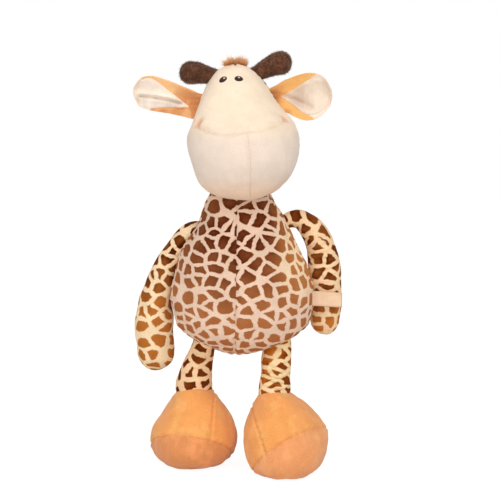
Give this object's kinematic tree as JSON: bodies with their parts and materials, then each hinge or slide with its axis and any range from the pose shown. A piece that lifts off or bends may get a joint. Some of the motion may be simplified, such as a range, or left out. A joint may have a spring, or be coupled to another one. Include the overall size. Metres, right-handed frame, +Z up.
{
  "type": "plush giraffe",
  "caption": "Stuffed giraffe standing on slipper feet, with a sewn skin over soft cores and a head, ears, horns, arms, legs, feet and tail that turn at their seams.",
  "frame": {"origin": "on the floor under the middle of the toy's bounding box", "axes": "+Z up, -Y the way the toy faces, +X to the viewer's right"},
  "size_m": [0.1781, 0.132, 0.3498],
  "materials": {
    "print": "short plush printed with brown spots on cream",
    "cream": "short cream plush",
    "orange": "short orange plush",
    "sole": "short orange plush",
    "brown": "dark brown plush",
    "lining": "pale short plush",
    "thread": "satin embroidery thread",
    "fur": "longer orange fur",
    "ribbon": "woven ribbon",
    "stuffing": "white polyester fibre"
  },
  "bodies": {
    "body": {"body_front_left": "print", "body_front_right": "print", "body_back_left": "print", "body_back_right": "print", "body_stuffing": "stuffing", "label": "ribbon"},
    "neck": {"neck_skin": "print", "neck_stuffing": "stuffing"},
    "head": {"face_panel": "cream", "chin_left": "cream", "chin_right": "cream", "head_back_left": "print", "head_back_right": "print", "head_stuffing": "stuffing", "left_eye": "thread", "right_eye": "thread", "crest": "fur", "mane": "fur"},
    "left_horn": {"left_horn_skin": "brown", "left_horn_stuffing": "stuffing"},
    "right_horn": {"right_horn_skin": "brown", "right_horn_stuffing": "stuffing"},
    "left_ear": {"left_ear_outer": "orange", "left_ear_lining": "lining"},
    "right_ear": {"right_ear_outer": "orange", "right_ear_lining": "lining"},
    "left_arm": {"left_arm_skin": "print", "left_arm_stuffing": "stuffing"},
    "right_arm": {"right_arm_skin": "print", "right_arm_stuffing": "stuffing"},
    "left_leg": {"left_leg_skin": "print", "left_leg_stuffing": "stuffing"},
    "right_leg": {"right_leg_skin": "print", "right_leg_stuffing": "stuffing"},
    "left_foot": {"left_foot_upper_left": "orange", "left_foot_upper_right": "orange", "left_foot_sole": "sole", "left_foot_stuffing": "stuffing"},
    "right_foot": {"right_foot_upper_left": "orange", "right_foot_upper_right": "orange", "right_foot_sole": "sole", "right_foot_stuffing": "stuffing"},
    "tail": {"tail": "print", "tail_tuft": "fur"}
  },
  "joints": [
    {"name": "head_turn", "type": "hinge", "parent": "body", "child": "neck", "pos_m": [0.0029, -0.0005, 0.2171], "axis": [0, 0, 1], "range_deg": [-30, 30], "stiffness_Nm_per_rad": 0.35},
    {"name": "head_nod", "type": "hinge", "parent": "neck", "child": "head", "pos_m": [0.0029, -0.0005, 0.2171], "axis": [1, 0, 0], "range_deg": [-14, 14], "stiffness_Nm_per_rad": 0.9},
    {"name": "left_horn_lift", "type": "hinge", "parent": "head", "child": "left_horn", "pos_m": [-0.01964, 0.01162, 0.32946], "axis": [0, 1, 0], "range_deg": [-5, 20], "stiffness_Nm_per_rad": 0.03},
    {"name": "right_horn_lift", "type": "hinge", "parent": "head", "child": "right_horn", "pos_m": [0.01688, 0.01162, 0.33247], "axis": [0, -1, 0], "range_deg": [-5, 20], "stiffness_Nm_per_rad": 0.03},
    {"name": "left_ear_fold", "type": "hinge", "parent": "head", "child": "left_ear", "pos_m": [-0.03186, 0.00708, 0.30404], "axis": [0.3697, 0, 0.9292], "range_deg": [-15, 15], "stiffness_Nm_per_rad": 0.03},
    {"name": "right_ear_fold", "type": "hinge", "parent": "head", "child": "right_ear", "pos_m": [0.03306, 0.00708, 0.31017], "axis": [0.5593, 0, -0.829], "range_deg": [-15, 10], "stiffness_Nm_per_rad": 0.03},
    {"name": "left_arm_swing", "type": "hinge", "parent": "body", "child": "left_arm", "pos_m": [-0.03769, 0.0075, 0.19642], "axis": [1, 0, 0], "range_deg": [-100, 30]},
    {"name": "right_arm_swing", "type": "hinge", "parent": "body", "child": "right_arm", "pos_m": [0.04101, 0.0075, 0.20502], "axis": [1, 0, 0], "range_deg": [-100, 25], "deforming": ["label"]},
    {"name": "left_hip", "type": "hinge", "parent": "body", "child": "left_leg", "pos_m": [-0.03014, -0.0035, 0.1015], "axis": [1, 0, 0], "range_deg": [-50, 30]},
    {"name": "right_hip", "type": "hinge", "parent": "body", "child": "right_leg", "pos_m": [0.03334, -0.0065, 0.1015], "axis": [1, 0, 0], "range_deg": [-20, 30]},
    {"name": "left_ankle", "type": "hinge", "parent": "left_leg", "child": "left_foot", "pos_m": [-0.03664, 0.0005, 0.0665], "axis": [1, 0, 0], "range_deg": [-15, 15]},
    {"name": "right_ankle", "type": "hinge", "parent": "right_leg", "child": "right_foot", "pos_m": [0.03034, -0.0165, 0.0665], "axis": [1, 0, 0], "range_deg": [-15, 15]},
    {"name": "tail_swing", "type": "hinge", "parent": "body", "child": "tail", "pos_m": [0.0029, 0.04752, 0.1413], "axis": [1, 0, 0], "range_deg": [-5, 60], "stiffness_Nm_per_rad": 0.02}
  ]
}
